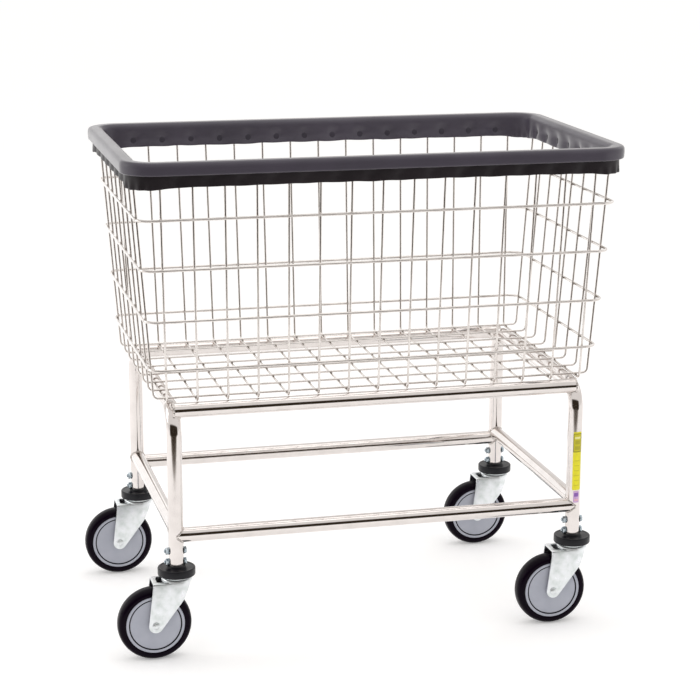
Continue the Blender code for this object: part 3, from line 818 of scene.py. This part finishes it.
def build_rivets():
    """Flat buttons on the inner skirt that hold the two skirts together between the wires."""
    profile = rounded_profile([(0.0, 0.0016, 0), (0.0050, 0.0013, 0.0010), (0.0070, 0.0, 0)])
    profile += [(0.0, 0.0)]
    dome = turned(profile, 18)
    parts, spots = [], []
    for n in range(CROSS_WIRES - 1):
        x = CENTRE_X + (n - (CROSS_WIRES - 2) / 2) * CROSS_PITCH_TOP
        spots += [(Vector((x, sign * ROD_HALF_WIDTH, 0)), Vector((0, sign, 0))) for sign in (-1, 1)]
    for n in range(LONG_WIRES - 1):
        y = (n - (LONG_WIRES - 2) / 2) * LONG_PITCH_TOP
        for sign in (-1, 1):
            spots.append((Vector((CENTRE_X + sign * ROD_HALF_LENGTH, y, 0)), Vector((sign, 0, 0))))
    for point, outwards in spots:
        turn = (-outwards).to_track_quat("Z", "Y").to_matrix()
        centre = point + outwards * (RIM_INNER + INNER_DIMPLE) + Vector((0, 0, DIMPLE_Z))
        parts.append(moved(dome, turn, centre))
    cart_piece("rim_rivets", merged(parts), BUTTON_VINYL)


# ---- Casters -------------------------------------------------

def extruded(name, outline, thickness):
    """A closed prism of a flat outline in XY, centred on its plane."""
    bm = bmesh.new()
    lower = [bm.verts.new((x, y, -thickness / 2)) for x, y in outline]
    upper = [bm.verts.new((x, y, thickness / 2)) for x, y in outline]
    bm.faces.new(reversed(lower))
    bm.faces.new(upper)
    for k in range(len(outline)):
        n = (k + 1) % len(outline)
        bm.faces.new((lower[k], lower[n], upper[n], upper[k]))
    bmesh.ops.recalc_face_normals(bm, faces=bm.faces)
    mesh = bpy.data.meshes.new(name)
    bm.to_mesh(mesh)
    bm.free()
    return mesh


def eased_top(mesh, top, radius, segments):
    """Round the edges that bound a prism's top face, as a pressed crown is rounded."""
    bm = bmesh.new()
    bm.from_mesh(mesh)
    edges = [e for e in bm.edges if all(abs(v.co.z - top) < 1e-6 for v in e.verts)]
    bmesh.ops.bevel(bm, geom=edges, offset=radius, segments=segments, profile=0.5, affect="EDGES")
    bm.to_mesh(mesh)
    bm.free()


def fork_plan(half_width, nose_x, rear_x, steps=28):
    centre_x = nose_x - half_width
    turns = [math.pi * (k / steps - 0.5) for k in range(steps + 1)]
    nose = [(centre_x + half_width * math.cos(t), half_width * math.sin(t)) for t in turns]
    return nose + [(rear_x, half_width), (rear_x, -half_width)]


def fork_side(top_z, steps=24):
    centre = Vector((-TRAIL, AXLE_Z))

    def tangent(corner, side):
        reach = Vector(corner) - centre
        lean = math.acos(FORK_TIP_R / reach.length)
        return math.atan2(reach.y, reach.x) + side * lean

    first = tangent(FORK_KNEE, -1)
    last = tangent((FORK_REAR_X, top_z), 1) - math.tau
    turns = [first + (last - first) * k / steps for k in range(steps + 1)]
    tip = [centre + Vector((math.cos(t), math.sin(t))) * FORK_TIP_R for t in turns]
    front = (FORK_NOSE_X + 0.001, top_z)
    return [front, FORK_KNEE, *[(p.x, p.y) for p in tip], (FORK_REAR_X, top_z)]


def cut(target, operation, mesh, location=(0, 0, 0), rotation=(0, 0, 0)):
    """Apply a Boolean of target with a mesh placed in the same space."""
    tool = link("cutter", mesh)
    tool.location = location
    tool.rotation_euler = rotation
    modifier = target.modifiers.new("Cut", "BOOLEAN")
    modifier.operation = operation
    modifier.object = tool
    bpy.context.view_layer.update()
    evaluated = target.evaluated_get(bpy.context.evaluated_depsgraph_get())
    result = bpy.data.meshes.new_from_object(evaluated)
    target.modifiers.clear()
    target.data = result
    bpy.data.objects.remove(tool)


def fork_mesh():
    """Pressed sheet fork, with a rounded crown, a window behind the raceway and eased edges."""
    height = FORK_TOP_Z
    shell = extruded("fork_shell", fork_plan(FORK_HALF_WIDTH, FORK_NOSE_X, FORK_SHELL_REAR_X), height)
    eased_top(shell, height / 2, 0.0034, 4)
    fork = link("fork_shape", shell)
    fork.data.transform(Matrix.Translation((0, 0, height / 2)))
    hollow_plan = fork_plan(FORK_HALF_WIDTH - FORK_SHEET, FORK_NOSE_X - FORK_SHEET,
                            FORK_SHELL_REAR_X - 0.01)
    hollow = extruded("fork_hollow", hollow_plan, height)
    eased_top(hollow, height / 2, 0.0010, 2)
    cut(fork, "DIFFERENCE", hollow, (0, 0, height / 2 - FORK_SHEET))
    side = extruded("fork_side", fork_side(height + 0.001), 0.07)
    cut(fork, "INTERSECT", side, (0, 0, 0), (math.pi / 2, 0, 0))
    window = [(-0.0360, -0.0150), (-0.0120, -0.0150), (-0.0120, 0.0150), (-0.0360, 0.0150)]
    window = [(p.x, p.y) for p in fillet([(*w, 0) for w in window], 0.003, 4, closed=True)]
    cut(fork, "DIFFERENCE", extruded("fork_window", window, 0.02), (0, 0, height))
    mesh = fork.data
    bpy.data.objects.remove(fork)
    bm = bmesh.new()
    bm.from_mesh(mesh)
    bmesh.ops.remove_doubles(bm, verts=bm.verts, dist=0.00002)
    bmesh.ops.dissolve_limit(bm, angle_limit=math.radians(1), verts=bm.verts, edges=bm.edges)
    sharp = [e for e in bm.edges if e.is_manifold and e.calc_face_angle(0) > math.radians(50)]
    bmesh.ops.bevel(bm, geom=sharp, offset=0.00045, segments=2, profile=0.6, affect="EDGES",
                    clamp_overlap=True)
    bm.to_mesh(mesh)
    bm.free()
    return shade(mesh, 35)


def raceway_mesh():
    """The crown's raised ball cup, under the stem's flange with a narrow gap."""
    top = RACEWAY_TOP_Z
    base = FORK_TOP_Z - 0.0012
    corners = [
        (0.0056, top - 0.0010, 0), (0.0165, top - 0.0010, 0.0006), (0.0185, top, 0.0006),
        (RACEWAY_R - 0.0016, top, 0.0012), (RACEWAY_R, top - 0.0022, 0.0010),
        (RACEWAY_R + 0.0004, base, 0), (0.0056, base, 0),
    ]
    return turned(rounded_profile(corners), 72, closed=True)


def stem_mesh():
    """The stem's flange over the balls, with a rolled edge, and the kingpin's head."""
    bottom, top = RACEWAY_TOP_Z + GAP, DISC_BOTTOM_Z
    corners = [
        (0.0, 0.204, 0), (0.0095, 0.204, 0.0010), (0.0095, top, 0),
        (0.0235, top, 0.0012), (0.0250, top - 0.0018, 0.0008), (0.0244, bottom, 0.0005),
        (0.0050, bottom, 0), (0.0050, 0.1352, 0), (0.0090, 0.1352, 0.0004),
        (0.0090, 0.1328, 0.0009), (0.0050, 0.1322, 0), (0.0, 0.1322, 0),
    ]
    return turned(rounded_profile(corners), 56)


def disc_mesh():
    """Rubber disc with a shallow dish on top and a dark sleeve round the leg's foot."""
    top, bottom = DISC_TOP_Z, DISC_BOTTOM_Z
    corners = [
        (0.0098, FOOT_Z + 0.0012, 0), (0.0142, FOOT_Z + 0.0012, 0.0006), (0.0155, FOOT_Z - 0.0002, 0.0006),
        (0.0160, top - 0.0004, 0.0006), (DISC_R - 0.0042, top - 0.0006, 0.0006),
        (DISC_R - 0.0030, top, 0.0006), (DISC_R, top - 0.0001, 0.0020),
        (DISC_R, bottom, 0.0020), (0.0098, bottom, 0),
    ]
    return turned(rounded_profile(corners), 72, closed=True)


def core_mesh():
    """Wheel core: hub, flat face, thin groove and raised outer ring, the same on both sides."""
    upper = [
        (0.0043, 0.0183, 0), (0.0088, 0.0183, 0.0006), (0.0100, 0.0158, 0.0006),
        (0.0112, 0.0140, 0.0008), (0.0432, 0.0140, 0.0004), (0.0434, 0.0112, 0.0004),
        (0.0452, 0.0112, 0.0004), (0.0454, 0.0152, 0.0006), (0.0497, 0.0152, 0.0008),
        (0.0504, 0.0138, 0),
    ]
    return turned(mirrored(rounded_profile(upper)), 96, closed=True)


def tyre_mesh():
    """Tread: rounded crown, soft shoulders and side walls that dip to the core."""
    points = []
    steps = 26
    for k in range(steps + 1):
        turn = math.pi * (k / steps - 0.5)
        squareness = 2.6
        side = math.copysign(abs(math.sin(turn)) ** (2 / squareness), math.sin(turn))
        rise = abs(math.cos(turn)) ** (2 / squareness)
        points.append((TYRE_INNER_R + 0.0012 + (WHEEL_R - TYRE_INNER_R - 0.0012) * rise,
                       -side * TYRE_HALF_WIDTH))
    profile = [(TYRE_INNER_R - 0.0006, 0.0146), (TYRE_INNER_R, TYRE_HALF_WIDTH - 0.0006)]
    profile += points
    profile += [(TYRE_INNER_R, -TYRE_HALF_WIDTH + 0.0006), (TYRE_INNER_R - 0.0006, -0.0146)]
    return turned(profile, 144, closed=True)


def axle_mesh():
    """Axle rivet: domed heads with a turned ring, and a plain shank."""
    cheek = FORK_HALF_WIDTH + 0.0001
    head = [
        (0.0, cheek + 0.0038, 0), (0.0028, cheek + 0.0037, 0.0006), (0.0034, cheek + 0.0030, 0.0004),
        (0.0041, cheek + 0.0034, 0.0004), (0.0058, cheek + 0.0026, 0.0010),
        (0.0066, cheek + 0.0006, 0.0005), (0.0065, cheek, 0), (0.0040, cheek, 0),
    ]
    return turned(mirrored(rounded_profile(head)), 48)


def hexagon(size, low, high, chamfer):
    """A chamfered hexagon nut or bolt head about X, from low to high."""
    rings = ((low, 1 - chamfer), (low + 0.0007, 1.0), (high - 0.0007, 1.0), (high, 1 - chamfer))
    vertices = []
    for x, share in rings:
        vertices += [Vector((x, size * share * c, size * share * s)) for c, s in circle(6, 0.5)]
    faces = strip_faces(4, 6)
    return vertices, [*faces, tuple(reversed(range(6))), tuple(range(18, 24))]


def cross_bolt_mesh(z):
    """One bolt through the leg: a washer and head on one side, a nut and the thread's end."""
    washer = turned(rounded_profile([(0.0, 0.0005, 0), (0.0066, 0.0005, 0.0003),
                                     (0.0066, -0.0005, 0.0003), (0.0, -0.0005, 0)]), 32)
    steps = 18
    thread = [(0.0029 + 0.0003 * (k % 2), 0.0048 * (1 - k / steps)) for k in range(steps + 1)]
    stub = turned([(0.0, 0.0052), (0.0023, 0.0052), *thread, (0.0, 0.0)], 20)
    along_x, against_x = (Matrix.Rotation(sign * math.pi / 2, 3, "Y") for sign in (1, -1))
    upright = Matrix.Identity(3)
    return merged([
        moved(washer, along_x, (TUBE_R + 0.0002, 0, z)),
        moved(washer, along_x, (-TUBE_R - 0.0002, 0, z)),
        moved(hexagon(BOLT_HEAD_R, TUBE_R + 0.0007, TUBE_R + 0.0046, 0.10), upright, (0, 0, z)),
        moved(hexagon(BOLT_HEAD_R, -TUBE_R - 0.0056, -TUBE_R - 0.0007, 0.10), upright, (0, 0, z)),
        moved(stub, against_x, (-TUBE_R - 0.0030, 0, z)),
    ])


CASTER_PIECES = (  # piece, look, body, slot, CAD node
    ("fork", ZINC, "swivel", "bright_zinc", "fork"),
    ("raceway_cup", ZINC, "swivel", "bright_zinc", None),
    ("axle_rivet", ZINC, "swivel", "steel", "axle_bolt"),
    ("stem_flange", ZINC, "cart", "steel", "stem"),
    ("rubber_disc", DISC_BLACK, "cart", "black_rubber", "bumper_disc"),
    ("cross_bolts", BOLT_STEEL, "cart", "steel", None),
    ("moulded_core", CORE_GREY, "wheel", "grey_plastic", "wheel_core"),
    ("smooth_tyre", TREAD, "wheel", "dark_tread", "tyre"),
)
ON_AXLE = ("axle_rivet", "moulded_core", "smooth_tyre")


def build_casters():
    shapes = {
        "raceway_cup": raceway_mesh(), "stem_flange": stem_mesh(), "rubber_disc": disc_mesh(),
        "moulded_core": core_mesh(), "smooth_tyre": tyre_mesh(), "axle_rivet": axle_mesh(),
        "cross_bolts": merged([cross_bolt_mesh(z) for z in CROSS_BOLT_HEIGHTS]),
    }
    meshes = {name: shade(mesh_from(name, *shape), 38) for name, shape in shapes.items()}
    for mesh in meshes.values():
        face_outwards(mesh)
    meshes["fork"] = fork_mesh()
    meshes["fork"].materials.clear()
    for name, look, *_ in CASTER_PIECES:
        meshes[name].materials.append(look)
    # The groove's faces get the black disc material: painted shade in the thin groove.
    core = meshes["moulded_core"]
    core.materials.append(DISC_BLACK)
    for polygon in core.polygons:
        centre = polygon.center
        if SHADED_GROOVE[0] < math.hypot(centre.x, centre.y) < SHADED_GROOVE[1] and abs(centre.z) < SHADED_GROOVE_DEPTH:
            polygon.material_index = 1
    for corner in CORNERS:
        for name, _, body, slot, node in CASTER_PIECES:
            piece = link(f"{corner}_{name}", meshes[name])
            piece.location = (LEG[corner].x, LEG[corner].y, 0)
            if name in ON_AXLE:
                piece.location = AXLE[corner]
                piece.rotation_euler = (math.pi / 2, 0, 0)
            body = body if body == "cart" else f"{corner}_{body}"
            place(piece, body, None, [f"{corner}_{node}"] if node else [])


# ---- Stickers ------------------------------------------------

LABEL_CENTRE_ANGLE = math.radians(-85)  # about the leg, from +X
LABEL_Z = (0.245, 0.351)
LABEL_HALF_ANGLE = math.radians(35)
DECAL_Z = (0.222, 0.243)
DECAL_HALF_ANGLE = math.radians(24)


def wrapped_sticker(name, heights, half_angle, material, replaces):
    """A thin sticker wrapped round the front of the front right leg, its corners rounded."""
    low, high = heights
    leg = LEG["front_right"]
    inner, outer = TUBE_R + 0.00005, TUBE_R + GAP + 0.0003
    rows, columns = 40, 20
    vertices = []
    for radius in (outer, inner):
        for i in range(rows + 1):
            z = low + (high - low) * i / rows
            edge = min(z - low, high - z)
            ease = 1.0 - 0.12 * max(0.0, 1.0 - edge / 0.002) ** 2
            for k in range(columns + 1):
                turn = half_angle * ease * (2 * k / columns - 1)
                vertices.append(Vector((radius * math.cos(turn), radius * math.sin(turn), z)))
    faces = []
    width = columns + 1
    layer = (rows + 1) * width
    for i in range(rows):
        for k in range(columns):
            a = i * width + k
            faces.append((a, a + 1, a + width + 1, a + width))
            faces.append((layer + a + width, layer + a + width + 1, layer + a + 1, layer + a))
    rim = list(range(width))
    rim += [i * width + columns for i in range(1, rows + 1)]
    rim += [rows * width + k for k in range(columns - 1, -1, -1)]
    rim += [i * width for i in range(rows - 1, 0, -1)]
    for a, b in zip(rim, rim[1:] + rim[:1]):
        faces.append((b, a, layer + a, layer + b))
    sticker = solid_object(name, (vertices, faces), 50)
    sticker.location = (leg.x, leg.y, 0)
    sticker.rotation_euler = (0, 0, LABEL_CENTRE_ANGLE)
    place(sticker, "cart", material, replaces)


# ---- Stage ---------------------------------------------------

CAMERA_AZIMUTH = -14.61
CAMERA_ELEVATION = 13.89
CAMERA_ROLL = 0.27
CAMERA_DISTANCE = 3.690
CAMERA_TARGET = (0.0452, 0.0045, 0.4475)
CAMERA_LENS = 105.0
CAMERA_SHIFT = (-0.022, 0.010)
CARD_DISTANCE = 1.43
CARD_HALF_WIDTH = 1.9
CARD_HEIGHT = 1.04
GLOW_CARDS = (  # name, strength, corners
    ("glow_floor_left", 1.1,
     ((-2.9, 1.3, 0.004), (-0.9, 1.3, 0.004), (-0.9, 5.0, 0.004), (-2.9, 5.0, 0.004))),
    ("glow_floor_middle", 1.5,
     ((-0.9, 1.3, 0.004), (-0.1, 1.3, 0.004), (-0.1, 5.0, 0.004), (-0.9, 5.0, 0.004))),
    ("glow_wall", 1.25, ((-3.4, 5.1, 0.0), (0.7, 5.1, 0.0), (0.7, 5.1, 3.4), (-3.4, 5.1, 3.4))),
    ("glow_right_high", 1.4, ((2.4, -0.3, 1.3), (2.4, 2.2, 1.3), (2.4, 2.2, 3.2), (2.4, -0.3, 3.2))),
)
FLOOR_REACH = 60


def quad(name, corners, material):
    obj = link(name, mesh_from(name, corners, [(0, 1, 2, 3)]))
    obj.data.materials.append(material)
    return obj


def stage_material(name, colour, glow):
    material, _, _, shader = new_material(name)
    shader.inputs["Base Color"].default_value = (*colour, 1.0)
    shader.inputs["Roughness"].default_value = 1.0
    shader.inputs["Specular IOR Level"].default_value = 0.0
    shader.inputs["Emission Color"].default_value = (1.0, 1.0, 1.0, 1.0)
    shader.inputs["Emission Strength"].default_value = glow
    return material


def card_material(name):
    """A dark brown flag that fades to white at its foot and at its top."""
    material, nodes, links, shader = new_material(name)
    shader.inputs["Base Color"].default_value = (0.0, 0.0, 0.0, 1.0)
    shader.inputs["Specular IOR Level"].default_value = 0.0
    shader.inputs["Emission Strength"].default_value = 1.0
    coordinates = nodes.new("ShaderNodeTexCoord")
    split = nodes.new("ShaderNodeSeparateXYZ")
    links.new(coordinates.outputs["Object"], split.inputs["Vector"])
    fade = value_range(nodes, links, split.outputs["Z"], 0.0, 1.0, 0.0, CARD_HEIGHT)
    stops = [(0.0, (0.60, 0.57, 0.54)), (0.05, (0.10, 0.08, 0.06)), (0.12, (0.035, 0.026, 0.018)),
             (0.90, (0.035, 0.026, 0.018)), (1.0, (0.62, 0.60, 0.58))]
    links.new(ramp(nodes, links, fade, stops), shader.inputs["Emission Color"])
    return material


def build_stage():
    ground = [(x * FLOOR_REACH, y * FLOOR_REACH, 0) for x, y in ((-1, -1), (1, -1), (1, 1), (-1, 1))]
    quad("studio_floor", ground, stage_material("floor_white", (0.91, 0.91, 0.91), 0.24))
    azimuth = math.radians(CAMERA_AZIMUTH)
    toward = Vector((math.sin(azimuth), -math.cos(azimuth), 0))
    across = Vector((-toward.y, toward.x, 0)) * CARD_HALF_WIDTH
    left, right = toward * CARD_DISTANCE - across, toward * CARD_DISTANCE + across
    up = Vector((0, 0, CARD_HEIGHT))
    flag = [left, right, right + up, left + up]
    stage_for_reflections(quad("dark_card", flag, card_material("card_dark")))
    for name, strength, corners in GLOW_CARDS:
        glow = stage_material(name, (0.0, 0.0, 0.0), strength)
        stage_for_reflections(quad(name, corners, glow))


def stage_for_reflections(obj):
    """Hide a studio card from camera, diffuse, shadow and transmission rays, so it is only seen in shiny
    surfaces.
    """
    obj.visible_camera = False
    obj.visible_diffuse = False
    obj.visible_shadow = False
    obj.visible_transmission = False


def add_area_light(name, location, target, size, power, colour=(1, 1, 1)):
    light = bpy.data.lights.new(name, "AREA")
    light.shape = "RECTANGLE"
    light.size, light.size_y = size
    light.energy = power
    light.color = colour
    lamp = bpy.data.objects.new(name, light)
    lamp.location = location
    lamp.rotation_euler = (Vector(target) - Vector(location)).to_track_quat("-Z", "Y").to_euler()
    bpy.context.scene.collection.objects.link(lamp)


def build_lights():
    world = bpy.data.worlds.new("studio")
    bpy.context.scene.world = world
    world.use_nodes = True
    background = world.node_tree.nodes["Background"]
    background.inputs["Color"].default_value = (1.0, 0.98, 0.965, 1.0)
    background.inputs["Strength"].default_value = 0.86
    add_area_light("overhead_softbox", (0.2, 0.3, 3.2), (0, 0, 0.4), (3.0, 2.4), 16)
    add_area_light("left_softbox", (-2.8, 0.9, 1.5), (0, 0, 0.6), (1.4, 1.6), 12)


def build_camera():
    camera = bpy.data.cameras.new("camera")
    camera.lens = CAMERA_LENS
    camera.sensor_width = 36.0
    camera.shift_x, camera.shift_y = CAMERA_SHIFT
    camera.clip_start, camera.clip_end = 0.1, 200.0
    obj = bpy.data.objects.new("camera", camera)
    azimuth, elevation = math.radians(CAMERA_AZIMUTH), math.radians(CAMERA_ELEVATION)
    back = Vector((math.sin(azimuth) * math.cos(elevation),
                   -math.cos(azimuth) * math.cos(elevation), math.sin(elevation)))
    obj.location = Vector(CAMERA_TARGET) + back * CAMERA_DISTANCE
    obj.rotation_mode = "QUATERNION"
    aim = (-back).to_track_quat("-Z", "Y")
    roll = Matrix.Rotation(math.radians(CAMERA_ROLL), 3, "Z").to_quaternion()
    obj.rotation_quaternion = aim @ roll
    bpy.context.scene.collection.objects.link(obj)
    bpy.context.scene.camera = obj


build_stage()
build_lights()
build_camera()
bpy.context.scene.view_settings.view_transform = "Standard"
build_base()
build_basket()
build_bumper()
build_rivets()
build_casters()
wrapped_sticker("leg_sticker", LABEL_Z, LABEL_HALF_ANGLE, STICKER, ["label"])
wrapped_sticker("leg_decal", DECAL_Z, DECAL_HALF_ANGLE, DECAL, [])
